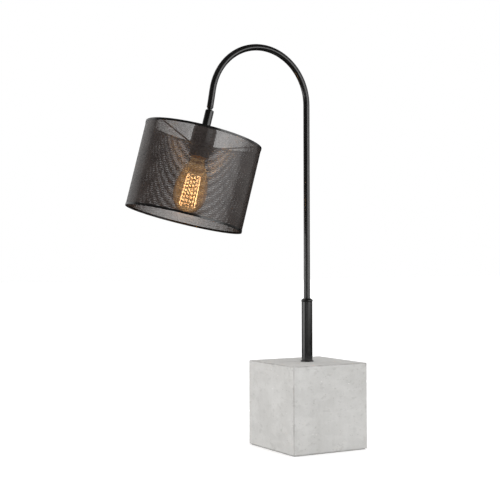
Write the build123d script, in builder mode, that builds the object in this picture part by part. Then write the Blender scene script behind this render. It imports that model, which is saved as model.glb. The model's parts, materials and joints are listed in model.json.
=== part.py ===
"""Table lamp: a cast concrete cube, a slim gooseneck arm with a ball joint at its tip, and a drum shade of
metal mesh round a clear filament bulb.

Millimetres, +Z up. The origin is the centre of the pad under the base. The arm bends over towards -X.
The head hangs from the ball joint, and its pieces are placed by their distance from the ball's centre,
measured down the head's own axis.
"""
from build123d import *
from math import cos, degrees, radians, sin
import os

# --- Base ---------------------------------------------------------------------------------------
base_width = 152.0
base_height = 150.9
base_edge = 1.6
pad_thickness = 1.5
pad_inset = 2.2
pad_corner = 3.0
recess_radius = 34.0
recess_depth = 30.0
cord_hole_radius = 6.0
cord_hole_height = 18.0
cord_radius = 3.6
grommet_flange_radius = 9.0
grommet_flange_thickness = 2.0
grommet_length = 22.0

# --- Threaded pipe and its hardware, under the base ---------------------------------------------
pipe_radius = 5.0
pipe_bore = 3.6
pipe_clearance = 0.3
washer_radius = 19.0
washer_thickness = 2.5
lock_washer_radius = 9.0
lock_washer_thickness = 1.8
nut_across_flats = 17.0
nut_height = 6.0
thread_past_nut = 4.0
splice_radius = 4.0
splice_length = 18.0

# --- Post: flange, sleeve and collar ------------------------------------------------------------
flange_radius = 11.6
flange_thickness = 1.8
sleeve_radius = 9.7
sleeve_wall = 1.8
sleeve_top = 105.6          # above the top of the concrete
collar_radius = 10.2
collar_height = 7.0
collar_groove = 0.9
collar_spigot = 12.0
coupling_bore_depth = 18.0
coupling_web = 3.0
coupling_length = 40.0

# --- Arm ----------------------------------------------------------------------------------------
arm_radius = 5.6
arm_wall = 1.2
bend_start = 457.6          # above the top of the concrete
bend_radius = 95.4
bend_angle = 170.2
tip_length = 32.8           # straight length after the bend, to the face of the tip bush
bush_flange = 2.0
bush_flange_radius = 5.8
bush_length = 10.0

# --- Ball joint ---------------------------------------------------------------------------------
ball_radius = 5.75
ball_offset = 10.0          # from the face of the tip bush to the ball's centre
neck_radius = 4.8
neck_start = 7.9
waist_radius = 2.9
waist_start = 6.9
stud_radius = 3.0
stud_bore = 1.7
running_gap = 0.05
thrust_gap = 0.1
snap_ring_thickness = 1.0
snap_ring_radius = 3.8
snap_ring_groove = 2.5

# --- Head: lean of its axis, then stations down that axis from the ball's centre ------------------
head_lean_out = 13.74       # in the arm's plane, away from the post
head_lean_across = 2.97     # out of the arm's plane, towards +Y
housing_radius = 7.35
housing_top = -5.6
housing_round = 1.95
mouth_radius = 5.0
seat_bottom = 8.0
seat_bore = 3.0
spring_count = 3
spring_pitch = 1.5
spring_thickness = 0.6
spring_cone = 0.7
nipple_bore = 3.4
nipple_top = 12.8
nipple_bottom = 30.0
cup_top = 22.5
cup_bottom = 53.7
cup_radius = 20.0
cup_wall = 1.0
cup_shoulder = 8.0
cup_nut_across_flats = 16.0
cup_nut_height = 4.0

# --- Lampholder ---------------------------------------------------------------------------------
holder_top = 34.0
holder_step = 50.0
holder_face = 53.0
holder_radius = 18.6
holder_boss_radius = 14.5
skirt_radius = 17.5
skirt_bore = 14.6
skirt_bottom = 77.3
skirt_bead_radius = 18.6
skirt_bead_height = 2.0
skirt_thread_pitch = 2.4
skirt_thread_depth = 0.6
shell_radius = 13.8
shell_wall = 0.4
shell_end = 76.5
contact_radius = 3.5
contact_thickness = 0.6
terminal_spacing = 22.0
terminal_radius = 3.0
terminal_head = 1.6
terminal_shank = 1.5
terminal_depth = 7.0
wire_radius = 0.9
wire_offset = 1.3

# --- Shade --------------------------------------------------------------------------------------
shade_radius = 100.4
shade_skin = 0.5
shade_top = 38.4
shade_bottom = 186.5
rim_height = 3.6
rim_wall = 0.5
seam_angle = 167.8
seam_width = 16.0
seam_thickness = 0.6
hub_radius = 23.5
hub_top = 59.6
hub_thickness = 2.0
spider_angles = (42.8, 162.8, 282.8)
spider_wire = 1.25
spider_rise_to = 40.4
lock_ring_radius = 21.5
lock_ring_height = 5.0

# --- Bulb ---------------------------------------------------------------------------------------
cap_radius = 13.05
cap_wall = 0.3
cap_top = 57.0
cap_bottom = 77.6
cap_insulator_top = 54.6
cap_contact_top = 53.9
cap_contact_radius = 4.5
glass_wall = 0.9
glass_neck = 12.3
glass_start = 74.0
glass_radius = 28.75
glass_widest = 140.0
glass_tip = 176.4
stem_radius = 4.5
stem_end = 100.0
stem_rod_radius = 1.6
stem_rod_end = 166.0
filament_top = 110.0
filament_bottom = 163.0
filament_top_radius = 11.5
filament_bottom_radius = 14.0
spoke_inset = 2.0           # from each end of the filament to the spokes that hold it
filament_strands = 12
filament_wire = 0.35
support_wire = 0.3

# --- Planes and points worked out from the dimensions --------------------------------------------
base_top = pad_thickness + base_height
recess_top = pad_thickness + recess_depth
flange_top = base_top + flange_thickness
arm_foot = flange_top + coupling_bore_depth + coupling_web
arm_bore = arm_radius - arm_wall
sleeve_bore = sleeve_radius - sleeve_wall

with BuildLine(Plane.XZ) as arm_path:
    post = Line((0, arm_foot), (0, base_top + bend_start))
    bend = JernArc(start=post @ 1, tangent=post % 1, radius=bend_radius, arc_size=bend_angle)
    tip = PolarLine(start=bend @ 1, length=tip_length - bush_flange, direction=bend % 1)

arm_direction = (arm_path.line % 1).normalized()
tube_end = arm_path.line @ 1
tip_face = tube_end + arm_direction * bush_flange
ball_centre = tip_face + arm_direction * ball_offset

# Section through the arm's tip: x is the radius, y is the distance up the arm from the ball's centre.
tip_across = arm_direction.cross(Vector(0, 1, 0)).normalized()
tip_section = Plane(origin=ball_centre, x_dir=tip_across, z_dir=tip_across.cross(arm_direction * -1))
tip_axis = Axis(ball_centre, arm_direction)

head_down = Vector(
    -sin(radians(head_lean_out)) * cos(radians(head_lean_across)),
    sin(radians(head_lean_across)),
    -cos(radians(head_lean_out)) * cos(radians(head_lean_across)),
)
head_right = head_down.cross(Vector(0, 1, 0)).normalized()
head_front = head_down.cross(head_right).normalized()
head_axis = Axis(ball_centre, head_down)


def section_at(angle):
    """Section through the head's axis: x is the radius, y is the distance down from the ball's centre."""
    across = head_right * cos(radians(angle)) + head_front * sin(radians(angle))
    return Plane(origin=ball_centre, x_dir=across, z_dir=across.cross(head_down))


def level(distance):
    """Plane square to the head's axis, at a distance down from the ball's centre."""
    return Plane(origin=ball_centre + head_down * distance, x_dir=head_right, z_dir=head_down)


def band(inner, outer, start, end, mode=Mode.ADD):
    """Rectangle of a section, from one radius to another and from one station to another."""
    with Locations((inner, start)):
        Rectangle(outer - inner, end - start, align=(Align.MIN, Align.MIN), mode=mode)


def save(piece, name):
    piece.part.label = name
    export_step(piece.part, f"parts/{name}.step")


head_section = section_at(0)
os.makedirs("parts", exist_ok=True)

# ================================================================================================
# Stand: everything that stays still on the table
# ================================================================================================

with BuildPart() as concrete_base:
    with BuildSketch(Plane.XY.offset(pad_thickness)):
        Rectangle(base_width, base_width)
    extrude(amount=base_height)
    chamfer(concrete_base.edges(), length=base_edge / 2)
    with BuildSketch(Plane.XY.offset(pad_thickness)):
        Circle(recess_radius)
    extrude(amount=recess_depth, mode=Mode.SUBTRACT)
    with BuildSketch(Plane.XY.offset(recess_top)):
        Circle(pipe_radius + pipe_clearance)
    extrude(amount=base_height - recess_depth, mode=Mode.SUBTRACT)
    with BuildSketch(Plane.XZ.offset(-base_width / 2)):
        with Locations((0, cord_hole_height)):
            Circle(cord_hole_radius)
    extrude(amount=base_width / 2, mode=Mode.SUBTRACT)
save(concrete_base, "concrete_base")

with BuildPart() as base_pad:
    with BuildSketch():
        RectangleRounded(base_width - 2 * pad_inset, base_width - 2 * pad_inset, pad_corner)
    extrude(amount=pad_thickness)
save(base_pad, "base_pad")

# The grommet lines the cord's way out at the back, with its flange outside.
with BuildPart() as cord_grommet:
    with BuildSketch(Plane.XZ.offset(-base_width / 2)):
        with Locations((0, cord_hole_height)):
            Circle(cord_hole_radius)
    extrude(amount=grommet_length - grommet_flange_thickness)
    with BuildSketch(Plane.XZ.offset(-base_width / 2)):
        with Locations((0, cord_hole_height)):
            Circle(grommet_flange_radius)
    extrude(amount=-grommet_flange_thickness)
    fillet(cord_grommet.edges().sort_by(Axis.Y)[-1], radius=grommet_flange_thickness / 2)
    with BuildSketch(Plane.XZ.offset(-base_width)):
        with Locations((0, cord_hole_height)):
            Circle(cord_radius)
    extrude(amount=base_width, mode=Mode.SUBTRACT)
save(cord_grommet, "cord_grommet")

washer_bottom = recess_top - washer_thickness
lock_washer_bottom = washer_bottom - lock_washer_thickness
nut_bottom = lock_washer_bottom - nut_height
pipe_foot = nut_bottom - thread_past_nut

with BuildPart() as threaded_pipe:
    with BuildSketch(Plane.XY.offset(pipe_foot)):
        Circle(pipe_radius)
        Circle(pipe_bore, mode=Mode.SUBTRACT)
    extrude(amount=flange_top + coupling_bore_depth - pipe_foot)
    chamfer(threaded_pipe.edges().filter_by(GeomType.CIRCLE).group_by(SortBy.RADIUS)[-1], length=0.6)
save(threaded_pipe, "threaded_pipe")

with BuildPart() as base_washer:
    with BuildSketch(Plane.XY.offset(washer_bottom)):
        Circle(washer_radius)
        Circle(pipe_radius, mode=Mode.SUBTRACT)
    extrude(amount=washer_thickness)
save(base_washer, "base_washer")

with BuildPart() as base_lock_washer:
    with BuildSketch(Plane.XY.offset(lock_washer_bottom)):
        Circle(lock_washer_radius)
        Circle(pipe_radius, mode=Mode.SUBTRACT)
        with Locations((lock_washer_radius, 0)):
            Rectangle(2 * lock_washer_radius, 1.2, mode=Mode.SUBTRACT)
    extrude(amount=lock_washer_thickness)
save(base_lock_washer, "base_lock_washer")

with BuildPart() as base_nut:
    with BuildSketch(Plane.XY.offset(nut_bottom)):
        RegularPolygon(nut_across_flats / 2, 6, major_radius=False)
        Circle(pipe_radius, mode=Mode.SUBTRACT)
    extrude(amount=nut_height)
save(base_nut, "base_nut")

# Two closed-end connectors lie in the recess, where the cord's two cores meet the arm's two.
with BuildPart() as wire_splices:
    for side in (-1, 1):
        with BuildSketch(Plane.XZ.offset(splice_length / 2)):
            with Locations((side * recess_radius * 0.62, pad_thickness + splice_radius + 1)):
                Circle(splice_radius)
        extrude(amount=-splice_length)
    fillet(wire_splices.edges().group_by(Axis.Y)[0], radius=splice_radius * 0.7)
save(wire_splices, "wire_splices")

with BuildPart() as base_flange:
    with BuildSketch(Plane.XY.offset(base_top)):
        Circle(flange_radius)
        Circle(pipe_radius, mode=Mode.SUBTRACT)
    extrude(amount=flange_thickness)
    rim_edges = base_flange.edges().filter_by(GeomType.CIRCLE).group_by(SortBy.RADIUS)[-1]
    fillet(rim_edges.sort_by(Axis.Z)[-1], radius=flange_thickness * 0.6)
save(base_flange, "base_flange")

with BuildPart() as post_sleeve:
    with BuildSketch(Plane.XY.offset(flange_top)):
        Circle(sleeve_radius)
        Circle(sleeve_bore, mode=Mode.SUBTRACT)
    extrude(amount=base_top + sleeve_top - flange_top)
save(post_sleeve, "post_sleeve")

# The coupling screws on the pipe and takes the arm's foot in its upper bore.
with BuildPart() as tube_coupling:
    with BuildSketch(Plane.XZ):
        band(0, sleeve_bore, flange_top, flange_top + coupling_length)
        band(0, pipe_radius, flange_top, flange_top + coupling_bore_depth, Mode.SUBTRACT)
        band(0, pipe_bore, flange_top, arm_foot, Mode.SUBTRACT)
        band(0, arm_radius, arm_foot, flange_top + coupling_length, Mode.SUBTRACT)
    revolve(axis=Axis.Z)
save(tube_coupling, "tube_coupling")

collar_bottom = base_top + sleeve_top
collar_top = collar_bottom + collar_height
with BuildPart() as post_collar:
    with BuildSketch(Plane.XZ):
        with BuildLine():
            Polyline(
                (arm_radius, collar_bottom - collar_spigot),
                (sleeve_bore, collar_bottom - collar_spigot),
                (sleeve_bore, collar_bottom),
                (sleeve_radius - 0.5, collar_bottom),
                (sleeve_radius - 0.5, collar_bottom + collar_groove),
                (sleeve_radius, collar_bottom + collar_groove),
            )
            bulge = ThreePointArc(
                (sleeve_radius, collar_bottom + collar_groove),
                (collar_radius, collar_bottom + collar_height * 0.42),
                (sleeve_radius, collar_bottom + collar_height * 0.7),
            )
            Polyline(
                bulge @ 1,
                (arm_radius + 1.0, collar_top),
                (arm_radius, collar_top),
                (arm_radius, collar_bottom - collar_spigot),
            )
        make_face()
    revolve(axis=Axis.Z)
save(post_collar, "post_collar")

with BuildPart() as arm_tube:
    with BuildSketch(Plane.XY.offset(arm_foot)):
        Circle(arm_radius)
        Circle(arm_bore, mode=Mode.SUBTRACT)
    sweep(path=arm_path.wire())
save(arm_tube, "arm_tube")

# The bush closes the arm's tip and is the bearing that the stud turns in.
with BuildPart() as arm_tip_bush:
    with BuildSketch(tip_section):
        with BuildLine():
            Polyline(
                (stud_radius + running_gap, ball_offset),
                (arm_radius - 0.5, ball_offset),
                (bush_flange_radius, ball_offset + 0.7),
                (bush_flange_radius, ball_offset + bush_flange - 0.3),
                (arm_radius, ball_offset + bush_flange),
                (arm_bore, ball_offset + bush_flange),
                (arm_bore, ball_offset + bush_length),
                (stud_radius + running_gap, ball_offset + bush_length),
                close=True,
            )
        make_face()
    revolve(axis=tip_axis)
save(arm_tip_bush, "arm_tip_bush")

# The arm's own pair of cores, as one round lead from the recess to the tip of the arm.
lead_radius = stud_bore - 0.3
lead_end_gap = 3.8          # from the lead's end to the tip bush
lead_tail = 4.0             # below the foot of the pipe
with BuildPart() as stand_lead:
    with BuildLine(Plane.XZ):
        rise = Line((0, pipe_foot - lead_tail), (0, base_top + bend_start))
        over = JernArc(start=rise @ 1, tangent=rise % 1, radius=bend_radius, arc_size=bend_angle)
        down_length = tip_length - bush_length - lead_end_gap
        PolarLine(start=over @ 1, length=down_length, direction=over % 1)
    with BuildSketch(Plane.XY.offset(pipe_foot - lead_tail)):
        Circle(lead_radius)
    sweep()
save(stand_lead, "stand_lead")

# ================================================================================================
# Swivel: the ball stud, which turns in the arm's tip
# ================================================================================================

stud_end = ball_offset + bush_length + thrust_gap + snap_ring_thickness + 1.0
ring_start = ball_offset + bush_length + thrust_gap

with BuildPart() as ball_stud:
    with BuildSketch(tip_section):
        Circle(ball_radius)
        with BuildLine():
            Polyline(
                (0, 0),
                (waist_radius, 0),
                (waist_radius, waist_start),
                (neck_radius, neck_start),
                (neck_radius, ball_offset - thrust_gap),
                (stud_radius, ball_offset - thrust_gap),
                (stud_radius, stud_end),
                (0, stud_end),
                close=True,
            )
        make_face()
        band(-ball_radius, stud_bore, -ball_radius, stud_end, Mode.SUBTRACT)
        band(snap_ring_groove, stud_radius, ring_start, ring_start + snap_ring_thickness, Mode.SUBTRACT)
    revolve(axis=tip_axis)
save(ball_stud, "ball_stud")

with BuildPart() as stud_snap_ring:
    with BuildSketch(tip_section):
        band(snap_ring_groove, snap_ring_radius, ring_start, ring_start + snap_ring_thickness)
    revolve(axis=tip_axis, revolution_arc=330)
save(stud_snap_ring, "stud_snap_ring")

with BuildPart() as stud_lead:
    with BuildSketch(tip_section):
        band(0, lead_radius, -ball_radius * 0.7, stud_end)
    revolve(axis=tip_axis)
save(stud_lead, "stud_lead")

# ================================================================================================
# Head: ball housing, cup, lampholder and shade
# ================================================================================================

seat_radius = ball_radius + running_gap

with BuildPart() as swivel_housing:
    with BuildSketch(head_section) as housing_outline:
        band(0, housing_radius, housing_top, cup_top)
        top_corner = housing_outline.vertices().group_by(Axis(ball_centre, head_down))[0]
        fillet(top_corner.sort_by_distance(ball_centre)[-1], radius=housing_round)
        band(0, seat_radius, 0, cup_top, Mode.SUBTRACT)
        band(0, mouth_radius, housing_top, 0, Mode.SUBTRACT)
        Circle(seat_radius, mode=Mode.SUBTRACT)
    revolve(axis=head_axis)
save(swivel_housing, "swivel_housing")

with BuildPart() as ball_seat:
    with BuildSketch(head_section):
        band(seat_bore, ball_radius, 0, seat_bottom)
        Circle(seat_radius, mode=Mode.SUBTRACT)
    revolve(axis=head_axis)
save(ball_seat, "ball_seat")

# Coned springs press the seat on the ball, and so hold the head where it is put.
with BuildPart() as disc_springs:
    for index in range(spring_count):
        spring_top = seat_bottom + index * spring_pitch
        with BuildSketch(head_section):
            with BuildLine():
                Polyline(
                    (nipple_bore, spring_top),
                    (ball_radius - 0.1, spring_top + spring_cone),
                    (ball_radius - 0.1, spring_top + spring_cone + spring_thickness),
                    (nipple_bore, spring_top + spring_thickness),
                    close=True,
                )
            make_face()
        revolve(axis=head_axis)
save(disc_springs, "disc_springs")

with BuildPart() as housing_nipple:
    with BuildSketch(head_section):
        band(nipple_bore, ball_radius, nipple_top, nipple_bottom)
    revolve(axis=head_axis)
save(housing_nipple, "housing_nipple")

with BuildPart() as cup_nut:
    with BuildSketch(level(cup_top + cup_wall)):
        RegularPolygon(cup_nut_across_flats / 2, 6, major_radius=False)
        Circle(ball_radius, mode=Mode.SUBTRACT)
    extrude(amount=cup_nut_height)
save(cup_nut, "cup_nut")

with BuildPart() as socket_cup:
    with BuildSketch(head_section):
        with BuildLine():
            top_face = Line((ball_radius, cup_top), (cup_radius - cup_shoulder, cup_top))
            shoulder = JernArc(top_face @ 1, tangent=(1, 0), radius=cup_shoulder, arc_size=90)
            side = Line(shoulder @ 1, (cup_radius, cup_bottom))
            lip = Line(side @ 1, (cup_radius - cup_wall, cup_bottom))
            inner_side = Line(lip @ 1, (cup_radius - cup_wall, cup_top + cup_shoulder))
            inner_shoulder = JernArc(
                inner_side @ 1, tangent=(0, -1), radius=cup_shoulder - cup_wall, arc_size=-90
            )
            inner_face = Line(inner_shoulder @ 1, (ball_radius, cup_top + cup_wall))
            Line(inner_face @ 1, top_face @ 0)
        make_face()
    revolve(axis=head_axis)
save(socket_cup, "socket_cup")

with BuildPart() as holder_block:
    with BuildSketch(head_section):
        band(3.2, holder_radius, holder_top, holder_step)
        band(3.2, holder_boss_radius, holder_step, holder_face)
    revolve(axis=head_axis)
    with BuildSketch(level(holder_top)):
        with Locations((-terminal_spacing / 2, 0), (terminal_spacing / 2, 0)):
            Circle(terminal_shank)
    extrude(amount=terminal_depth, mode=Mode.SUBTRACT)
save(holder_block, "holder_block")

with BuildPart() as terminal_screws:
    with BuildSketch(level(holder_top)):
        with Locations((-terminal_spacing / 2, 0), (terminal_spacing / 2, 0)):
            Circle(terminal_shank)
    extrude(amount=terminal_depth)
    with BuildSketch(level(holder_top)):
        with Locations((-terminal_spacing / 2, 0), (terminal_spacing / 2, 0)):
            Circle(terminal_radius)
    extrude(amount=-terminal_head)
save(terminal_screws, "terminal_screws")

# Two cores leave the nipple side by side and bend outwards to the terminals.
with BuildPart() as head_leads:
    for side in (0, 180):
        with BuildLine(section_at(side)) as core_path:
            fall_start = (wire_offset, seat_bottom + 0.5)
            fall_end = (wire_offset, holder_top - terminal_head - wire_radius)
            reach_end = (terminal_spacing / 2 + 1, holder_top - terminal_head - wire_radius)
            FilletPolyline(fall_start, fall_end, reach_end, radius=3 * wire_radius)
        core_start = core_path.line @ 0
        with BuildSketch(Plane(origin=core_start, x_dir=head_right, z_dir=head_down)):
            Circle(wire_radius)
        sweep()
save(head_leads, "head_leads")

with BuildPart() as socket_skirt:
    with BuildSketch(head_section):
        band(skirt_bore, skirt_radius, holder_step, skirt_bottom)
        band(skirt_bore, skirt_bead_radius, hub_top - skirt_bead_height, hub_top)
        thread_start = hub_top + hub_thickness + lock_ring_height + skirt_thread_pitch
        thread_count = int((skirt_bottom - thread_start) / skirt_thread_pitch)
        for turn in range(thread_count):
            groove = thread_start + turn * skirt_thread_pitch
            band(
                skirt_radius - skirt_thread_depth, skirt_radius,
                groove, groove + skirt_thread_pitch / 2, Mode.SUBTRACT,
            )
    revolve(axis=head_axis)
save(socket_skirt, "socket_skirt")

with BuildPart() as screw_shell:
    with BuildSketch(head_section):
        band(shell_radius - shell_wall, shell_radius, holder_face, shell_end)
        band(holder_boss_radius / 2, shell_radius, holder_face, holder_face + shell_wall)
    revolve(axis=head_axis)
save(screw_shell, "screw_shell")

with BuildPart() as centre_contact:
    with BuildSketch(level(holder_face)):
        Circle(contact_radius)
    extrude(amount=contact_thickness)
save(centre_contact, "centre_contact")

with BuildPart() as shade_lock_ring:
    with BuildSketch(head_section):
        ring_top = hub_top + hub_thickness
        band(skirt_radius, lock_ring_radius, ring_top, ring_top + lock_ring_height)
    revolve(axis=head_axis)
    ring_edges = shade_lock_ring.edges().filter_by(GeomType.CIRCLE)
    chamfer(ring_edges.group_by(SortBy.RADIUS)[-1], length=0.6)
save(shade_lock_ring, "shade_lock_ring")

with BuildPart() as spider_hub:
    with BuildSketch(level(hub_top)):
        Circle(hub_radius)
        Circle(skirt_radius, mode=Mode.SUBTRACT)
    extrude(amount=hub_thickness)
save(spider_hub, "spider_hub")

with BuildPart() as spider_arms:
    for angle in spider_angles:
        arm_section = section_at(angle)
        inner_end = arm_section.from_local_coords((hub_radius - spider_wire, hub_top, 0))
        outer_end = arm_section.from_local_coords((shade_radius - shade_skin - rim_wall, spider_rise_to, 0))
        reach = outer_end - inner_end
        with BuildSketch(Plane(origin=inner_end, z_dir=reach)):
            Circle(spider_wire)
        extrude(amount=reach.length)
save(spider_arms, "spider_arms")

shade_inner = shade_radius - shade_skin
with BuildPart() as shade_mesh:
    with BuildSketch(head_section):
        band(shade_inner, shade_radius, shade_top + rim_wall, shade_bottom - rim_wall)
    revolve(axis=head_axis)
save(shade_mesh, "shade_mesh")

# The mesh sheet's ends lap over each other along one strip, between the two rims.
with BuildPart() as shade_seam:
    with BuildSketch(section_at(seam_angle)):
        band(
            shade_inner - seam_thickness, shade_inner,
            shade_top + rim_height, shade_bottom - rim_height,
        )
    revolve(axis=head_axis, revolution_arc=degrees(seam_width / shade_radius))
save(shade_seam, "shade_seam")


def rim(closed_end, open_end):
    """Section of a channel that folds over the mesh's edge, closed at one end."""
    first, last = sorted((closed_end, open_end))
    band(shade_inner - rim_wall, shade_radius + rim_wall, first, last)
    if closed_end < open_end:
        band(shade_inner, shade_radius, first + rim_wall, last, Mode.SUBTRACT)
    else:
        band(shade_inner, shade_radius, first, last - rim_wall, Mode.SUBTRACT)


with BuildPart() as shade_top_rim:
    with BuildSketch(head_section):
        rim(shade_top, shade_top + rim_height)
    revolve(axis=head_axis)
save(shade_top_rim, "shade_top_rim")

with BuildPart() as shade_bottom_rim:
    with BuildSketch(head_section):
        rim(shade_bottom, shade_bottom - rim_height)
    revolve(axis=head_axis)
save(shade_bottom_rim, "shade_bottom_rim")

# ================================================================================================
# Bulb: screws out of the lampholder
# ================================================================================================

with BuildPart() as bulb_glass:
    with BuildSketch(head_section):
        for inset, mode in ((0, Mode.ADD), (glass_wall, Mode.SUBTRACT)):
            neck = glass_neck - inset
            widest = glass_radius - inset
            end = glass_tip - inset
            swell = glass_widest - glass_start
            dome = end - glass_widest
            with BuildLine():
                Line((0, glass_start), (neck, glass_start))
                Bezier(
                    (neck, glass_start), (neck, glass_start + 0.36 * swell),
                    (widest, glass_widest - 0.52 * swell), (widest, glass_widest),
                )
                Bezier(
                    (widest, glass_widest), (widest, glass_widest + 0.55 * dome),
                    (0.55 * widest, end), (0, end),
                )
                Line((0, end), (0, glass_start))
            make_face(mode=mode)
    revolve(axis=head_axis)
save(bulb_glass, "bulb_glass")

with BuildPart() as glass_stem:
    with BuildSketch(head_section):
        with BuildLine():
            Polyline(
                (0, glass_start),
                (glass_neck - glass_wall, glass_start),
                (stem_radius, glass_start + 9),
                (stem_radius, stem_end),
                (stem_rod_radius, stem_end + 3),
                (stem_rod_radius, stem_rod_end),
                (0, stem_rod_end),
                close=True,
            )
        make_face()
    revolve(axis=head_axis)
save(glass_stem, "glass_stem")

with BuildPart() as filament:
    for strand in range(filament_strands):
        strand_section = section_at(360 * strand / filament_strands)
        strand_top = strand_section.from_local_coords((filament_top_radius, filament_top, 0))
        strand_end = strand_section.from_local_coords((filament_bottom_radius, filament_bottom, 0))
        run = strand_end - strand_top
        with BuildSketch(Plane(origin=strand_top, z_dir=run)):
            Circle(filament_wire)
        extrude(amount=run.length)
save(filament, "filament")

with BuildPart() as filament_supports:
    spoke_rings = (
        (filament_top + spoke_inset, filament_top_radius),
        (filament_bottom - spoke_inset, filament_bottom_radius),
    )
    for station, reach in spoke_rings:
        for spoke in range(filament_strands // 2):
            spoke_section = section_at(360 * (spoke + 0.25) / (filament_strands // 2))
            spoke_start = spoke_section.from_local_coords((stem_rod_radius, station, 0))
            spoke_end = spoke_section.from_local_coords((reach, station, 0))
            with BuildSketch(Plane(origin=spoke_start, z_dir=spoke_end - spoke_start)):
                Circle(support_wire)
            extrude(amount=reach - stem_rod_radius)
save(filament_supports, "filament_supports")

with BuildPart() as bulb_cap:
    with BuildSketch(head_section):
        band(cap_radius - cap_wall, cap_radius, cap_top, cap_bottom)
        band(cap_contact_radius + 2, cap_radius, cap_top, cap_top + cap_wall)
    revolve(axis=head_axis)
save(bulb_cap, "bulb_cap")

with BuildPart() as cap_insulator:
    with BuildSketch(head_section):
        with BuildLine():
            Polyline(
                (0, cap_insulator_top),
                (cap_contact_radius, cap_insulator_top),
                (cap_radius - 3, cap_top),
                (cap_contact_radius + 2, cap_top),
                (cap_contact_radius + 2, cap_top + 3),
                (0, cap_top + 3),
                close=True,
            )
        make_face()
    revolve(axis=head_axis)
save(cap_insulator, "cap_insulator")

with BuildPart() as cap_contact:
    with BuildSketch(level(cap_contact_top)):
        Circle(cap_contact_radius)
    extrude(amount=cap_insulator_top - cap_contact_top)
    fillet(cap_contact.edges().group_by(head_axis)[0], radius=0.3)
save(cap_contact, "cap_contact")
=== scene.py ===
"""Looks for the table lamp: materials on every CAD piece, and finer meshes for the concrete, the shade's
perforated sheet, the bulb and the threads. Metres, in the CAD model's own frame."""
import json
import math
import random

import bmesh
import bpy
import numpy as np
from mathutils import Matrix, Vector, noise

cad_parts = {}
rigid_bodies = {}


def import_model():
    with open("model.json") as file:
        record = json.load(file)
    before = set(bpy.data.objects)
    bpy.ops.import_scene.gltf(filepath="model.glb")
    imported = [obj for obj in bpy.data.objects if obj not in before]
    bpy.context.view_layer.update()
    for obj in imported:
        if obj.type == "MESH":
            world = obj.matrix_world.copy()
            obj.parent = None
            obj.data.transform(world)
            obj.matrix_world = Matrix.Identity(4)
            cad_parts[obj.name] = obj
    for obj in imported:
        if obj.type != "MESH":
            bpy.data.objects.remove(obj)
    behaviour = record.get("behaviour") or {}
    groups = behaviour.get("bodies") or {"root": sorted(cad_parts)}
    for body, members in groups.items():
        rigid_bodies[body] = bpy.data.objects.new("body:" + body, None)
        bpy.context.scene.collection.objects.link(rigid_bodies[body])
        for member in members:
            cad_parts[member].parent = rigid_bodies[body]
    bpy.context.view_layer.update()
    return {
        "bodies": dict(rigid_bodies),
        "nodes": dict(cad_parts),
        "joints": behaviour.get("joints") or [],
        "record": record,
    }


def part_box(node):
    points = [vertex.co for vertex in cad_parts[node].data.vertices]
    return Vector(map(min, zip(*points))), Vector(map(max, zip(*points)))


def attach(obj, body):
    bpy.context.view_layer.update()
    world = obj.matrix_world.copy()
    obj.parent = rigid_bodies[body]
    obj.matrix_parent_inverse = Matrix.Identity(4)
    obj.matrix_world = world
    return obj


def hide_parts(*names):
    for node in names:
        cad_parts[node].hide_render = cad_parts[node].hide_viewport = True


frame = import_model()

MM = 0.001
ON_AXIS = 1e-9              # a smaller radius counts as none
ROUND_SEGMENTS = 96         # round a turned piece or a drilled hole
EDGE_SHADE_WIDTH = 2.0 * MM        # width of the painted shade along the concrete's edges
GLOW_DOWN = 137 * MM        # from the ball to the middle of the filament's glow
GLASS_GLOW = 0.15           # emission of the glass next to the filament
GLOW_NEAR, GLOW_FAR = 27 * MM, 52 * MM

# --- The head's own axis, from the joints --------------------------------------------------------
joints = {joint["name"]: joint for joint in frame["joints"]}
ball = Vector(joints["head_tilt"]["pos_m"])
head_down = Vector(joints["bulb_unscrew"]["axis"]).normalized()
head_right = head_down.cross(Vector((0, 1, 0))).normalized()
head_front = head_down.cross(head_right)


def head_point(radius, angle, down):
    """Point at a radius and an angle round the head's axis, and a distance down it from the ball."""
    across = head_right * math.cos(angle) + head_front * math.sin(angle)
    return ball + across * radius + head_down * down


def head_span(node):
    """A node's smallest and largest radius about the head's axis, and its start and end along it."""
    points = np.array([v.co for v in frame["nodes"][node].data.vertices]) - np.array(ball)
    down = points @ np.array(head_down)
    radius = np.linalg.norm(points - down[:, None] * np.array(head_down), axis=1)
    return radius.min(), radius.max(), down.min(), down.max()


# --- Mesh helpers --------------------------------------------------------------------------------


def make_object(name, points, faces, smooth_angle=None):
    """Mesh object from points and faces, with smooth shading below an angle in degrees."""
    mesh = bpy.data.meshes.new(name)
    mesh.from_pydata([tuple(p) for p in points], [], [tuple(f) for f in faces])
    mesh.update()
    piece = bpy.data.objects.new(name, mesh)
    bpy.context.scene.collection.objects.link(piece)
    if smooth_angle is not None:
        shade_smooth(piece, smooth_angle)
    return piece


def shade_smooth(piece, angle):
    """Smooth shading with sharp edges where faces meet at more than the angle."""
    mesh = piece.data
    mesh.polygons.foreach_set("use_smooth", [True] * len(mesh.polygons))
    bm = bmesh.new()
    bm.from_mesh(mesh)
    for edge in bm.edges:
        edge.smooth = len(edge.link_faces) != 2 or edge.calc_face_angle(0) < math.radians(angle)
    bm.to_mesh(mesh)
    bm.free()


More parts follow.
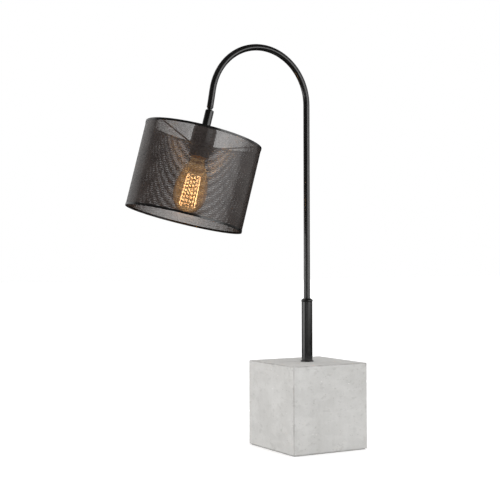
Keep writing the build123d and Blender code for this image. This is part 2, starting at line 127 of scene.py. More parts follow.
def lathe(name, outline, smooth_angle, twist=None):
    """Turns an outline of (radius, down) points about the head's axis. The outline runs from axis to
    axis, or closes on itself. twist(radius, angle, down) gives a changed radius, for a screw thread."""
    segments = ROUND_SEGMENTS
    points, faces, rings = [], [], []
    for radius, down in outline:
        if radius < ON_AXIS:
            rings.append([len(points)] * segments)
            points.append(head_point(0, 0, down))
            continue
        rings.append(list(range(len(points), len(points) + segments)))
        for k in range(segments):
            angle = 2 * math.pi * k / segments
            reach = twist(radius, angle, down) if twist else radius
            points.append(head_point(reach, angle, down))
    closed = outline[0][0] > ON_AXIS
    pairs = list(zip(rings, rings[1:])) + ([(rings[-1], rings[0])] if closed else [])
    for near, far in pairs:
        for k in range(segments):
            corners = [near[k], far[k], far[(k + 1) % segments], near[(k + 1) % segments]]
            face = list(dict.fromkeys(corners))
            if len(face) > 2:
                faces.append(face)
    return make_object(name, points, faces, smooth_angle)


def bezier(p0, p1, p2, p3, count):
    """Points on a cubic curve, without its first."""
    spots = []
    for k in range(1, count + 1):
        t = k / count
        weights = ((1 - t) ** 3, 3 * t * (1 - t) ** 2, 3 * t * t * (1 - t), t**3)
        spots.append(tuple(sum(w * p[i] for w, p in zip(weights, (p0, p1, p2, p3))) for i in (0, 1)))
    return spots


def wire_loop(name, spots, radius, sides):
    """Round wire along a closed route of points."""
    points, faces = [], []
    count = len(spots)
    for k, spot in enumerate(spots):
        forward = (spots[(k + 1) % count] - spots[k - 1]).normalized()
        side = forward.cross(head_down if abs(forward.dot(head_down)) < 0.9 else head_right).normalized()
        up = forward.cross(side)
        for n in range(sides):
            angle = 2 * math.pi * n / sides
            points.append(spot + (side * math.cos(angle) + up * math.sin(angle)) * radius)
    for k in range(count):
        near, far = k * sides, (k + 1) % count * sides
        for n in range(sides):
            m = (n + 1) % sides
            faces.append((near + n, near + m, far + m, far + n))
    return make_object(name, points, faces, 60)


def dress(piece, body, slot, *nodes):
    """Puts a new piece on its body, in its material, in place of CAD nodes."""
    piece.data.materials.clear()
    piece.data.materials.append(materials[slot])
    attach(piece, body)
    if nodes:
        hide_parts(*nodes)


# --- Materials -----------------------------------------------------------------------------------


class Shader:
    """A material being built: its node tree, its Principled shader and short ways to add nodes."""

    def __init__(self, name):
        self.material = bpy.data.materials.new(name)
        self.material.use_nodes = True
        self.tree = self.material.node_tree
        self.surface = self.tree.nodes["Principled BSDF"]
        self.output = self.tree.nodes["Material Output"]
        self.place = self.tree.nodes.new("ShaderNodeTexCoord").outputs["Object"]

    def add(self, kind, settings=None, **inputs):
        node = self.tree.nodes.new("ShaderNode" + kind)
        for key, value in (settings or {}).items():
            setattr(node, key, value)
        for key, value in inputs.items():
            self.give(node.inputs[key.replace("_", " ")], value)
        return node

    def give(self, socket, value):
        if isinstance(value, bpy.types.NodeSocket):
            self.tree.links.new(value, socket)
        else:
            socket.default_value = value

    def noise(self, scale, detail=4.0, roughness=0.55, vector=None):
        node = self.add("TexNoise", Vector=vector or self.place, Scale=scale, Detail=detail,
                        Roughness=roughness)
        return node.outputs["Fac"]

    def stretch(self, x, y, z):
        """The object's coordinates, scaled differently each way."""
        node = self.add("Mapping", Vector=self.place, Scale=(x, y, z))
        return node.outputs["Vector"]

    def cells(self, scale):
        """Distance to the nearest of many scattered points."""
        node = self.add("TexVoronoi", Vector=self.place, Scale=scale)
        return node.outputs["Distance"]

    def ramp(self, factor, *stops):
        """Colours at places from 0 to 1."""
        node = self.add("ValToRGB", Fac=factor)
        points = node.color_ramp.elements
        while len(points) < len(stops):
            points.new(0.5)
        for point, (position, colour) in zip(points, stops):
            point.position = position
            point.color = (*colour, 1)
        return node.outputs["Color"]

    def map(self, value, low, high, to_low, to_high):
        node = self.add("MapRange")
        for index, number in enumerate((value, low, high, to_low, to_high)):
            self.give(node.inputs[index], number)
        return node.outputs["Result"]

    def math(self, operation, first, second):
        node = self.add("Math", {"operation": operation})
        self.give(node.inputs[0], first)
        self.give(node.inputs[1], second)
        return node.outputs["Value"]

    def mix(self, factor, first, second, blend="MIX"):
        node = self.add("Mix", {"data_type": "RGBA", "blend_type": blend})
        self.give(node.inputs[0], factor)
        self.give(node.inputs[6], first)
        self.give(node.inputs[7], second)
        return node.outputs[2]

    def bump(self, height, distance, strength=1.0, below=None):
        node = self.add("Bump", Height=height, Distance=distance, Strength=strength)
        if below is not None:
            self.give(node.inputs["Normal"], below)
        return node.outputs["Normal"]

    def set(self, **inputs):
        for key, value in inputs.items():
            self.give(self.surface.inputs[key.replace("_", " ")], value)


def colour4(r, g, b):
    return (r, g, b, 1)


def concrete():
    """Pale cast concrete: blotches, trowel marks, smudges, sand, pinholes and specks, with painted shade in
    the pinholes and along the edges.
    """
    s = Shader("concrete")
    blotches = s.ramp(s.noise(13, 5, 0.6), (0.3, (0.485, 0.480, 0.466)), (0.7, (0.570, 0.565, 0.551)))
    strokes = s.noise(1, 3, 0.55, s.stretch(26, 26, 60))
    stroked = s.mix(s.map(strokes, 0.52, 0.60, 0.0, 0.30), blotches, colour4(0.625, 0.62, 0.605))
    streaks = s.noise(1, 4, 0.6, s.stretch(70, 70, 10))
    streaked = s.mix(s.map(streaks, 0.45, 0.7, 0.0, 0.22), stroked, colour4(0.645, 0.64, 0.63))
    cloud = s.mix(s.map(s.noise(60, 6, 0.7), 0.54, 0.74, 0.0, 0.34), streaked,
                  colour4(0.36, 0.356, 0.345))
    sand = s.noise(1100, 2, 0.5)
    grained = s.mix(s.map(sand, 0.3, 0.7, 0.0, 0.14), cloud, colour4(0.33, 0.33, 0.32))
    smudges = s.map(s.noise(1, 3, 0.6, s.stretch(75, 75, 130)), 0.60, 0.68, 0.0, 0.30)
    smudged = s.mix(smudges, grained, colour4(0.34, 0.335, 0.32))
    specks = s.map(s.cells(120), 0.09, 0.15, 1.0, 0.0)
    rare = s.map(s.noise(70, 2, 0.5, s.stretch(1.3, 1.1, 0.9)), 0.585, 0.62, 0.0, 0.6)
    specked = s.mix(s.math("MULTIPLY", specks, rare), smudged, colour4(0.82, 0.81, 0.79))
    pinholes = s.cells(210)
    sparse = s.map(s.noise(120, 2, 0.5), 0.50, 0.60, 0.0, 1.0)
    hole = s.math("MULTIPLY", s.map(pinholes, 0.10, 0.17, 1.0, 0.0), sparse)
    # Painted shade: the pinholes are darkened, for the shade inside them.
    pinhole_shaded = s.mix(s.math("MULTIPLY", hole, 0.55), specked, colour4(0.22, 0.22, 0.21))
    low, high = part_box("concrete_base")
    centre, half = (low + high) / 2, (high - low) / 2
    split = s.add("SeparateXYZ", Vector=s.place)
    rims = []
    for socket, middle_place, reach in zip(split.outputs, centre, half):
        away = s.math("ABSOLUTE", s.math("SUBTRACT", socket, middle_place), 0.0)
        rims.append(s.map(away, reach - EDGE_SHADE_WIDTH, reach - 0.4 * EDGE_SHADE_WIDTH, 0.0, 1.0))
    pairs = [s.math("MULTIPLY", rims[a], rims[b]) for a, b in ((0, 1), (1, 2), (0, 2))]
    edge = s.math("MAXIMUM", s.math("MAXIMUM", pairs[0], pairs[1]), pairs[2])
    # Painted shade: a darker band along the block's edges, standing in for the shading of its rounded edges.
    painted_edge_shade = s.math("MULTIPLY", edge, s.map(s.noise(55, 3, 0.6), 0.35, 0.65, 0.1, 0.62))
    s.set(Base_Color=s.mix(painted_edge_shade, pinhole_shaded, colour4(0.21, 0.20, 0.19)))
    s.set(Roughness=s.map(sand, 0.3, 0.7, 0.78, 0.92))
    fine = s.bump(sand, 0.00012, 0.6)
    wavy = s.bump(s.noise(150, 4, 0.6), 0.0004, 0.35, fine)
    s.set(Normal=s.bump(s.math("SUBTRACT", 1.0, hole), 0.0006, 0.8, wavy))
    s.surface.inputs["Specular IOR Level"].default_value = 0.25
    return s.material


def painted(name, dark, light, roughness, grain):
    """Dark bronze paint: slightly uneven in colour and gloss, with the fine texture of powder coat."""
    s = Shader(name)
    uneven = s.noise(40, 4, 0.6)
    s.set(Base_Color=s.ramp(uneven, (0.3, dark), (0.7, light)))
    s.set(Roughness=s.map(s.noise(260, 3, 0.6), 0.3, 0.7, roughness - 0.05, roughness + 0.06))
    s.set(Normal=s.bump(s.noise(grain, 3, 0.5), 0.000008, 0.2))
    s.surface.inputs["Metallic"].default_value = 0.0
    s.surface.inputs["Specular IOR Level"].default_value = 0.7
    return s.material


def plain(name, low, high, roughness, scale, bump=0.00003, metallic=0.0):
    """A moulded or rubbed surface: two near colours, uneven gloss and a fine bump."""
    s = Shader(name)
    spots = s.noise(scale, 3.0, 0.55)
    s.set(Base_Color=s.ramp(spots, (0.3, low), (0.7, high)))
    s.set(Roughness=s.map(spots, 0.3, 0.7, roughness * 0.85, roughness * 1.15))
    s.set(Normal=s.bump(s.noise(scale * 4, 2, 0.5), bump, 0.5))
    s.surface.inputs["Metallic"].default_value = metallic
    return s.material


def brushed(name, low, high, roughness):
    """Bare metal with turning marks round it and a little tarnish."""
    s = Shader(name)
    marks = s.noise(1, 3, 0.6, s.stretch(150, 150, 2600))
    tarnish = s.noise(90, 4, 0.6)
    s.set(Base_Color=s.mix(s.map(tarnish, 0.35, 0.7, 0.0, 0.5), colour4(*high), colour4(*low)))
    s.set(Roughness=s.map(marks, 0.3, 0.7, roughness - 0.08, roughness + 0.1))
    s.set(Normal=s.bump(marks, 0.00003, 0.4))
    s.surface.inputs["Metallic"].default_value = 1.0
    return s.material


def felt():
    """Short grey felt: fibres as fine stretched noise, with a soft sheen."""
    s = Shader("felt")
    fibres = s.noise(1, 4, 0.7, s.stretch(900, 2400, 900))
    s.set(Base_Color=s.ramp(fibres, (0.3, (0.30, 0.30, 0.29)), (0.75, (0.52, 0.52, 0.50))))
    s.set(Normal=s.bump(fibres, 0.0003, 0.8))
    s.surface.inputs["Roughness"].default_value = 0.95
    s.surface.inputs["Sheen Weight"].default_value = 0.3
    return s.material


def glass(name, tint, gloss, glow_spot=None):
    """Thin blown glass: clear and slightly tinted seen square on, mirror-like at its edges. Near a glow
    spot it is lit up a little, in amber, most where it is seen square on."""
    s = Shader(name)
    s.tree.nodes.remove(s.surface)
    waves = s.bump(s.noise(45, 2, 0.5), 0.0006, 0.15)
    clear = s.add("BsdfTransparent", Color=colour4(*tint))
    shine = s.add("BsdfGlossy", Color=colour4(1, 1, 1), Roughness=0.04, Normal=waves)
    edge = s.add("LayerWeight", Blend=gloss, Normal=waves)
    both = s.add("MixShader", Fac=s.math("MULTIPLY", edge.outputs["Fresnel"], 0.6))
    if glow_spot is None:
        s.give(both.inputs[1], clear.outputs[0])
    else:
        away = s.add("VectorMath", {"operation": "DISTANCE"})
        s.give(away.inputs[0], s.place)
        s.give(away.inputs[1], tuple(glow_spot))
        near = s.map(away.outputs["Value"], GLOW_NEAR, GLOW_FAR, GLASS_GLOW, 0.3 * GLASS_GLOW)
        strength = s.math("MULTIPLY", near, s.map(edge.outputs["Facing"], 0.05, 0.6, 1.0, 0.10))
        lit = s.add("Emission", Color=colour4(1.0, 0.50, 0.14), Strength=strength)
        lined = s.add("AddShader")
        s.give(lined.inputs[0], clear.outputs[0])
        s.give(lined.inputs[1], lit.outputs[0])
        s.give(both.inputs[1], lined.outputs[0])
    s.give(both.inputs[2], shine.outputs[0])
    s.give(s.output.inputs["Surface"], both.outputs[0])
    return s.material


def glowing():
    """Hot filament: evenly bright, in slightly uneven orange."""
    s = Shader("filament_wire")
    warmth = s.noise(300, 2, 0.5)
    s.set(Base_Color=colour4(0.9, 0.5, 0.2))
    s.set(Emission_Color=s.ramp(warmth, (0.35, (1.0, 0.62, 0.36)), (0.65, (1.0, 0.74, 0.52))))
    s.surface.inputs["Emission Strength"].default_value = 7.0
    return s.material


BRONZE_DARK, BRONZE_LIGHT = (0.0045, 0.0042, 0.004), (0.0075, 0.007, 0.0066)
materials = {
    "concrete": concrete(),
    "felt": felt(),
    "black_rubber": plain("black_rubber", (0.012, 0.012, 0.012), (0.028, 0.028, 0.028), 0.6, 500),
    "zinc_steel": brushed("zinc_steel", (0.42, 0.43, 0.45), (0.66, 0.67, 0.69), 0.34),
    "white_nylon": plain("white_nylon", (0.74, 0.73, 0.68), (0.84, 0.83, 0.79), 0.45, 200),
    "dark_bronze": painted("dark_bronze", BRONZE_DARK, BRONZE_LIGHT, 0.19, 1500),
    "lead_jacket": plain("lead_jacket", (0.015, 0.015, 0.015), (0.03, 0.03, 0.03), 0.5, 400),
    "porcelain": plain("porcelain", (0.78, 0.76, 0.71), (0.86, 0.85, 0.81), 0.16, 60, 0.00001),
    "brass": brushed("brass", (0.42, 0.27, 0.11), (0.78, 0.56, 0.26), 0.28),
    "black_phenolic": plain("black_phenolic", (0.014, 0.013, 0.012), (0.03, 0.028, 0.026), 0.3, 350),
    "mesh_metal": painted("mesh_metal", (0.029, 0.0225, 0.0205), (0.050, 0.040, 0.036), 0.26, 1200),
    "amber_glass": glass("amber_glass", (1.0, 0.93, 0.80), 0.12, head_point(0, 0, GLOW_DOWN)),
    "clear_glass": glass("clear_glass", (0.97, 0.95, 0.91), 0.2),
    "filament_wire": glowing(),
    "support_wire": brushed("support_wire", (0.25, 0.22, 0.2), (0.5, 0.46, 0.42), 0.35),
    "black_glass": plain("black_glass", (0.015, 0.015, 0.02), (0.03, 0.03, 0.04), 0.12, 300, 0.00001),
    "solder": plain("solder", (0.45, 0.45, 0.46), (0.66, 0.66, 0.68), 0.35, 700, 0.00008, 1.0),
}
for part in frame["record"]["subparts"]:
    node = frame["nodes"][part["node"]]
    node.data.materials.clear()
    node.data.materials.append(materials[part["material_slot"]])

# --- Concrete base -------------------------------------------------------------------------------

ROUNDING = 0.9 * MM         # of the block's edges
RIM_STEP = 0.4 * MM         # between mesh lines next to an edge
RIM_LINES = 5
FACE_STEP = 1.36 * MM       # between mesh lines away from the edges
PIT_AREA = 0.97             # of each face's half width, where pits may start
PITS_ON_TOP, PITS_ON_A_SIDE = 14, 34
CLUSTER_SIZES = (1, 1, 1, 2, 4)
CLUSTER_SPREAD = 5 * MM
SMALL_PIT, LARGE_PIT = (1.3, 1.9), (2.0, 3.0)       # radii, in millimetres
SMALL_SHARE = 0.85
PIT_DEPTH = (0.35, 0.7)     # of its radius
WOBBLE, WOBBLE_SCALE = 0.10 * MM, 240
NICK_DEPTH, NICK_SCALE, NICK_FROM = 3.0 * MM, 90, 0.36
NICK_REACH = 3 * MM         # from an edge
SKIN = 2.5 * MM             # how near a face a point is moved with it
WELD = 0.02 * MM
SMOOTH_BELOW = 60           # degrees
RECESS_RADIUS = 34 * MM
RECESS_DEPTH = 30 * MM
PIPE_HOLE_RADIUS = 5.3 * MM
CORD_HOLE_RADIUS = 6 * MM


def spaced(half, fine, step):
    """Coordinates from -half to half: close together by the edges, and even between them."""
    edge = [half - fine * k for k in range(RIM_LINES)]
    inner = np.linspace(-edge[-1], edge[-1], int(2 * edge[-1] / step) + 1)
    return np.concatenate([[-e for e in edge[:-1]], inner, edge[-2::-1]])


def pit_field(seed, half_a, half_b, count):
    """Air-bubble pits on one face: places, radii and depths, mostly small, some in clusters."""
    rng = random.Random(seed)
    pits = []
    while len(pits) < count:
        a, b = rng.uniform(-half_a, half_a), rng.uniform(-half_b, half_b)
        for _ in range(rng.choice(CLUSTER_SIZES)):
            radius = rng.uniform(*(SMALL_PIT if rng.random() < SMALL_SHARE else LARGE_PIT))
            pits.append((a, b, radius * MM, radius * rng.uniform(*PIT_DEPTH) * MM))
            a, b = a + rng.gauss(0, 1) * CLUSTER_SPREAD, b + rng.gauss(0, 1) * CLUSTER_SPREAD
    return np.array(pits)


def concrete_block():
    """The cube as a dense mesh: slightly rounded, uneven edges and real pits in its faces."""
    low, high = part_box("concrete_base")
    centre, half = (low + high) / 2, (high - low) / 2
    points, faces = [], []
    for axis in range(3):
        u, v = (axis + 1) % 3, (axis + 2) % 3
        us, vs = (spaced(half[across], RIM_STEP, FACE_STEP) for across in (u, v))
        grid_u, grid_v = (g.ravel() for g in np.meshgrid(us, vs, indexing="ij"))
        for side in (-1, 1):
            start = sum(len(p) for p in points)
            spots = np.zeros((len(grid_u), 3))
            spots[:, axis], spots[:, u], spots[:, v] = side * half[axis], grid_u, grid_v
            inside = np.array(half) - ROUNDING
            core = np.clip(spots, -inside, inside)
            out = spots - core
            length = np.linalg.norm(out, axis=1, keepdims=True)
            spots = core + out / length * np.minimum(length, ROUNDING)
            top = axis == 2 and side == 1
            count = PITS_ON_TOP if top else PITS_ON_A_SIDE
            pits = pit_field(10 * axis + side, half[u] * PIT_AREA, half[v] * PIT_AREA, count)
            for a, b, radius, depth in pits:
                away = np.hypot(grid_u - a, grid_v - b) / radius
                spots[:, axis] -= side * depth * np.clip(1 - away**2, 0, 1) ** 1.5
            points.append(spots)
            index = start + np.arange(len(us) * len(vs)).reshape(len(us), len(vs))
            quads = np.stack([index[:-1, :-1], index[1:, :-1], index[1:, 1:], index[:-1, 1:]], -1)
            faces.append((quads if side == 1 else quads[..., ::-1]).reshape(-1, 4))
    points = np.concatenate(points)
    from_edge = np.sort(np.array(half) - np.abs(points), axis=1)[:, 1]
    edge = 1 - np.clip(from_edge / NICK_REACH, 0, 1)
    wobble = np.array([noise.noise(Vector(p) * WOBBLE_SCALE) for p in points]) * WOBBLE
    rough = np.array([noise.noise(Vector(p) * NICK_SCALE) for p in points])
    nick = np.maximum(rough - NICK_FROM, 0) * NICK_DEPTH
    inward = -np.sign(points) * (np.abs(points) > np.array(half) - SKIN)
    points = points + inward * (np.abs(wobble) + nick * edge**2)[:, None]
    block = make_object("concrete_block", points + np.array(centre), np.concatenate(faces))
    bm = bmesh.new()
    bm.from_mesh(block.data)
    bmesh.ops.remove_doubles(bm, verts=bm.verts, dist=WELD)
    bm.to_mesh(block.data)
    bm.free()
    return block


def cut_holes(block):
    """Cuts the recess under the base, the pipe's hole above it and the cord's hole at the back."""
    base_low, base_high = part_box("concrete_base")
    cord_low, cord_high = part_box("cord_grommet")
    cord_level = (cord_low.z + cord_high.z) / 2
    recess_top = base_low.z + RECESS_DEPTH
    cuts = (
        (RECESS_RADIUS, (0, 0, base_low.z - RECESS_DEPTH), (0, 0, recess_top)),
        (PIPE_HOLE_RADIUS, (0, 0, recess_top - MM), (0, 0, base_high.z + MM)),
        (CORD_HOLE_RADIUS, (0, 0, cord_level), (0, base_high.y + MM, cord_level)),
    )
    for radius, start, end in cuts:
        run = Vector(end) - Vector(start)
        cutter = bpy.data.meshes.new("cutter")
        bm = bmesh.new()
        bmesh.ops.create_cone(
            bm, cap_ends=True, segments=ROUND_SEGMENTS, radius1=radius, radius2=radius, depth=run.length
        )
        turn = run.to_track_quat("Z", "Y").to_matrix().to_4x4()
        bm.transform(Matrix.Translation((Vector(start) + Vector(end)) / 2) @ turn)
        bm.to_mesh(cutter)
        bm.free()
        tool = bpy.data.objects.new("cutter", cutter)
        bpy.context.scene.collection.objects.link(tool)
        cut = block.modifiers.new("cut", "BOOLEAN")
        cut.object = tool
        cut.solver = "EXACT"
        graph = bpy.context.evaluated_depsgraph_get()
        whole = block.data
        block.data = bpy.data.meshes.new_from_object(block.evaluated_get(graph))
        block.modifiers.clear()
        bpy.data.meshes.remove(whole)
        bpy.data.objects.remove(tool)
        bpy.data.meshes.remove(cutter)
    shade_smooth(block, SMOOTH_BELOW)
    return block


dress(cut_holes(concrete_block()), "stand", "concrete", "concrete_base")

# --- Shade: a perforated sheet, bent round into a drum --------------------------------------------

HOLE_PITCH = 1.8 * MM
HOLE_SHARE = 0.52       # of the pitch, across the hole's flats
ROW_DRIFT = 0.25        # of the pitch, from each row of holes to the next
SHEET = 0.5 * MM


def perforated(name, radius, start, end, first_column, last_column, columns, drift=ROW_DRIFT):
    """Part of a drum of sheet metal with six-sided holes in staggered rows, from one column of holes to
    another out of those that go all the way round."""
    pitch_angle = 2 * math.pi / columns
    pitch = pitch_angle * radius
    rows = round((end - start) / (pitch * math.sqrt(3) / 2))
    row_step = (end - start) / rows
    count = last_column - first_column
    column = np.arange(first_column, last_column)
    corner = HOLE_SHARE * pitch / math.sqrt(3)
    turns = np.radians(30 + 60 * np.arange(6))
    r, c, k = np.meshgrid(np.arange(rows), column, np.arange(6), indexing="ij")
    angle = (c + 0.5 * (r % 2) + drift * r) * pitch_angle + corner * np.cos(turns)[k] / radius
    down = start + (r + 0.5) * row_step + corner * np.sin(turns)[k]
    index = np.arange(rows * count * 6).reshape(rows, count, 6)

    def neighbour(row_shift, column_shift):
        """Corner indices of the hole in the next row or column, for the holes that have one."""
        moved = np.roll(index, (-row_shift, -column_shift), (0, 1))
        has = np.ones((rows, count), bool)
        if row_shift:
            has[-1] = False
        if column_shift > 0:
            has[:, -1] = False
        if column_shift < 0:
            has[:, 0] = False
        return moved, has

    triangles, quads = [], []
    right, has_right = neighbour(0, 1)
    quads.append(np.stack([index[..., 0], right[..., 2], right[..., 3], index[..., 5]], -1)[has_right])
    even = (np.arange(rows) % 2 == 0)[:, None] & np.ones((rows, count), bool)
    # Panels that drift share their last column with the next panel, which makes that column's bars.
    own = np.ones((rows, count), bool)
    own[:, -1] = drift == 0
    for parity, left_shift, right_shift in ((even, -1, 0), (~even, 0, 1)):
        up_right, has_up_right = neighbour(1, right_shift)
        up_left, has_up_left = neighbour(1, left_shift)
        one = parity & has_up_right
        bars = one & own if right_shift == 0 else one
        quads.append(
            np.stack([index[..., 1], index[..., 0], up_right[..., 4], up_right[..., 3]], -1)[bars]
        )
        two = parity & has_up_left
        bars = two & own if left_shift == 0 else two
        quads.append(
            np.stack([index[..., 2], index[..., 1], up_left[..., 5], up_left[..., 4]], -1)[bars]
        )
        both = one & two
        triangles.append(np.stack([index[..., 1], up_right[..., 3], up_left[..., 5]], -1)[both])
        three = one & has_right
        triangles.append(np.stack([index[..., 0], right[..., 2], up_right[..., 4]], -1)[three])
    outer = [tuple(f) for group in quads + triangles for f in group.tolist()]
    total = index.size
    flat_angle, flat_down = angle.ravel(), down.ravel()
    rings = []
    across = (
        np.cos(flat_angle)[:, None] * np.array(head_right)
        + np.sin(flat_angle)[:, None] * np.array(head_front)
    )
    for reach in (radius, radius - SHEET):
        rings.append(np.array(ball) + across * reach + flat_down[:, None] * np.array(head_down))
    edges = {}
    for face in outer:
        for a, b in zip(face, face[1:] + face[:1]):
            edges[(a, b)] = True
    walls = [(b, a, a + total, b + total) for a, b in edges if (b, a) not in edges]
    inner = [tuple(v + total for v in reversed(face)) for face in outer]
    return make_object(name, np.concatenate(rings), outer + walls + inner)


_, mesh_outer, mesh_start, mesh_end = head_span("shade_mesh")
COLUMNS = round(2 * math.pi * mesh_outer / HOLE_PITCH)
PANELS = 6
for panel in range(PANELS):
    first = COLUMNS * panel // PANELS
    last = COLUMNS * (panel + 1) // PANELS
    sheet = perforated(
        f"shade_sheet_{panel + 1}", mesh_outer, mesh_start, mesh_end, first, last + 1, COLUMNS
    )
    dress(sheet, "head", "mesh_metal", "shade_mesh")

SEAM_ANGLE = math.radians(167.8)
SEAM_WIDTH = 16 * MM
_, seam_outer, seam_start, seam_end = head_span("shade_seam")
seam_first = round(SEAM_ANGLE / (2 * math.pi) * COLUMNS)
seam_last = seam_first + round(SEAM_WIDTH / HOLE_PITCH)
seam_strip = perforated(
    "seam_strip", seam_outer, seam_start, seam_end, seam_first, seam_last, COLUMNS, drift=0
)
dress(seam_strip, "head", "mesh_metal", "shade_seam")

# --- Bulb ----------------------------------------------------------------------------------------


def blown_glass():
    """The bulb's envelope, as a thin shell open at the neck."""
    _, widest, start, end = head_span("bulb_glass")
    wall = 0.7 * MM
    neck = 12.3 * MM
    mid = 140 * MM

    def side(inset):
        swell, dome = mid - start, end - inset - mid
        wide = widest - inset
        narrow = neck - inset
        line = [(narrow, start)]
        line += bezier(
            line[0], (narrow, start + 0.36 * swell), (wide, mid - 0.52 * swell), (wide, mid), 30
        )
        line += bezier(
            (wide, mid), (wide, mid + 0.55 * dome), (0.55 * wide, end - inset), (0, end - inset), 24
        )
        return line

    outline = side(0)[::-1] + side(wall)
    return lathe("blown_glass", outline, 60)


dress(blown_glass(), "bulb", "amber_glass", "bulb_glass")


def threaded_cap():
    """The bulb's brass screw cap: a thin shell with a rolled thread, and a plain skirt at the glass."""
    _, reach, start, end = head_span("bulb_cap")
    pitch, depth, wall = 3.63 * MM, 0.65 * MM, 0.35 * MM
    skirt = 3.5 * MM
    plain_from = end - skirt

    def thread(radius, angle, down):
        fade = max(0.0, min((down - start - MM) / MM, (plain_from - down) / MM, 1.0))
        wave = 0.5 + 0.5 * math.cos(2 * math.pi * ((down - start) / pitch - angle / (2 * math.pi)))
        return radius - depth * fade * (1 - wave)

    rows = 96
    outside = [(reach, start + (end - start) * k / rows) for k in range(rows + 1)]
    inside = [(radius - wall, down) for radius, down in outside[::-1]]
    foot = 6.5 * MM
    outline = outside + inside[:-1] + [(reach - wall, start + wall), (foot, start + wall), (foot, start)]
    return lathe("threaded_cap", outline, 50, twist=thread)


dress(threaded_cap(), "bulb", "brass", "bulb_cap")


def glowing_filament():
    """The squirrel cage: fine wire that runs up and down between two rings of hooks, in one zigzag."""
    _, _, start, end = head_span("filament")
    top_reach, bottom_reach = 11.5 * MM, 14.0 * MM
    wire = 0.24 * MM
    bends = 14
    first_turn = 0.369      # of a whole turn
    route = []
    for bend in range(bends):
        angle = 2 * math.pi * (bend / bends + first_turn)
        ends = ((top_reach, start + wire), (bottom_reach, end - wire))
        for reach, down in ends if bend % 2 == 0 else ends[::-1]:
            route.append((reach, angle, down))
    spots = []
    for (reach, angle, down), (next_reach, next_angle, next_down) in zip(route, route[1:] + route[:1]):
        steps = 12 if abs(next_down - down) > MM else 3
        turn = (next_angle - angle) % (2 * math.pi)
        for step in range(steps):
            t = step / steps
            spots.append(head_point(
                reach + (next_reach - reach) * t, angle + turn * t, down + (next_down - down) * t
            ))
    return wire_loop("glowing_filament", spots, wire, 8)


dress(glowing_filament(), "bulb", "filament_wire", "filament")

# --- Stage: floor, world, lights, camera ----------------------------------------------------------


def floor():
    """A wide, plain, pale floor."""
    s = Shader("pale_floor")
    s.set(Base_Color=s.ramp(s.noise(3, 2, 0.5), (0.3, (0.94, 0.94, 0.94)), (0.7, (0.955, 0.955, 0.955))))
    s.set(Roughness=0.9, Emission_Color=colour4(1, 1, 1), Emission_Strength=0.22)
    s.surface.inputs["Specular IOR Level"].default_value = 0.1
    reach = FLOOR_REACH
    corners = [(-reach, -reach, 0), (reach, -reach, 0), (reach, reach, 0), (-reach, reach, 0)]
    ground = make_object("floor", corners, [(0, 1, 2, 3)])
    ground.data.materials.append(s.material)
    ground.visible_glossy = False


def area_light(name, place, target, width, height, energy):
    """A soft box that faces its target. It shows in gloss, and lights nothing matt."""
    lamp = bpy.data.lights.new(name, "AREA")
    lamp.shape = "RECTANGLE"
    lamp.size, lamp.size_y = width, height
    lamp.energy = energy
    box = bpy.data.objects.new(name, lamp)
    box.location = place
    box.rotation_euler = (Vector(target) - Vector(place)).to_track_quat("-Z", "Y").to_euler()
    box.visible_camera = False
    box.visible_diffuse = False
    bpy.context.scene.collection.objects.link(box)


FLOOR_REACH = 12.0
CAMERA_PLACE = (-1.0823, -1.6818, 0.3406)
CAMERA_TURN = (90.32, 0.15, -29.85)     # degrees
LENS_LENGTH = 80.4                      # millimetres, on a 36 mm wide sensor
GLOW_POWER = 0.11                       # watts
GLOW_COLOUR = (1.0, 0.62, 0.30)
GLOW_RADIUS = 12 * MM

floor()
world = bpy.data.worlds.new("studio")
world.use_nodes = True
bpy.context.scene.world = world
air = world.node_tree
background = air.nodes["Background"]
background.inputs["Color"].default_value = (1, 1, 1, 1)
seen = air.nodes.new("ShaderNodeLightPath").outputs
heading = air.nodes.new("ShaderNodeTexCoord")
split = air.nodes.new("ShaderNodeSeparateXYZ")
air.links.new(heading.outputs["Generated"], split.inputs[0])


def world_range(value, *numbers):
    """Maps a socket's value from one range to another, in the world's nodes."""
    node = air.nodes.new("ShaderNodeMapRange")
    air.links.new(value, node.inputs[0])
    for index, number in enumerate(numbers, 1):
        if isinstance(number, bpy.types.NodeSocket):
            air.links.new(number, node.inputs[index])
        else:
            node.inputs[index].default_value = number
    return node.outputs["Result"]


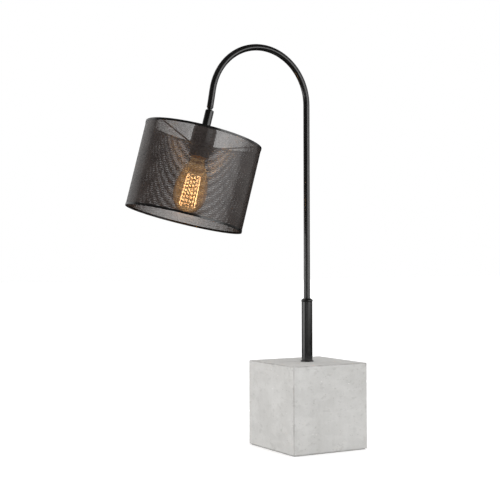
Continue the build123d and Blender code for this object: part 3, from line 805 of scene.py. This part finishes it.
# The sky is brighter on the left than on the right, and nearly dark in gloss, where soft boxes show instead.
SKY_LEFT, SKY_RIGHT, SKY_HIGH, SKY_IN_GLOSS = 1.27, 0.66, 1.17, 0.02
sky = world_range(split.outputs["X"], -1.0, 1.0, SKY_LEFT, SKY_RIGHT)
sky = world_range(split.outputs["Z"], 0.0, 1.0, sky, SKY_HIGH)
sky = world_range(seen["Is Glossy Ray"], 0.0, 1.0, sky, SKY_IN_GLOSS)
sky = world_range(seen["Is Camera Ray"], 0.0, 1.0, sky, 1.0)
air.links.new(sky, background.inputs["Strength"])

MIDDLE = Vector((-0.1, 0, 0.40))


def soft_box(name, turn, distance, height, width, tall, energy):
    """A soft box round the object, by its turn to the right of the camera, in degrees."""
    bearing = math.atan2(CAMERA_PLACE[1], CAMERA_PLACE[0]) + math.radians(turn)
    place = MIDDLE + Vector((math.cos(bearing) * distance, math.sin(bearing) * distance, height))
    area_light(name, place, MIDDLE, width, tall, energy)


# Name, turn from the camera in degrees, distance, height above the middle, width, length and watts.
SOFT_BOXES = (
    ("left_rear_box", -130, 1.9, 0.9, 1.8, 2.4, 9),
    ("left_box", -78, 1.7, -0.18, 2.1, 0.46, 7),
    ("right_box", 62, 1.7, 0.20, 1.9, 0.86, 12),
    ("right_rear_box", 116, 1.8, 0.6, 1.6, 1.9, 5),
    ("front_low_box", 8, 2.6, -0.22, 3.8, 0.36, 3.2),
)
for box in SOFT_BOXES:
    soft_box(*box)

glow = bpy.data.lights.new("bulb_glow", "POINT")
glow.energy = GLOW_POWER
glow.color = GLOW_COLOUR
glow.shadow_soft_size = GLOW_RADIUS
glow_object = bpy.data.objects.new("bulb_glow", glow)
glow_object.location = head_point(0, 0, GLOW_DOWN)
glow_object.visible_camera = False
bpy.context.scene.collection.objects.link(glow_object)
glow_object.parent = frame["bodies"]["bulb"]

lens = bpy.data.cameras.new("camera")
lens.sensor_width = 36.0
lens.lens = LENS_LENGTH
lens.clip_end = 60
camera = bpy.data.objects.new("camera", lens)
camera.location = CAMERA_PLACE
camera.rotation_euler = [math.radians(angle) for angle in CAMERA_TURN]
bpy.context.scene.collection.objects.link(camera)
bpy.context.scene.camera = camera
bpy.context.scene.view_settings.view_transform = "Standard"
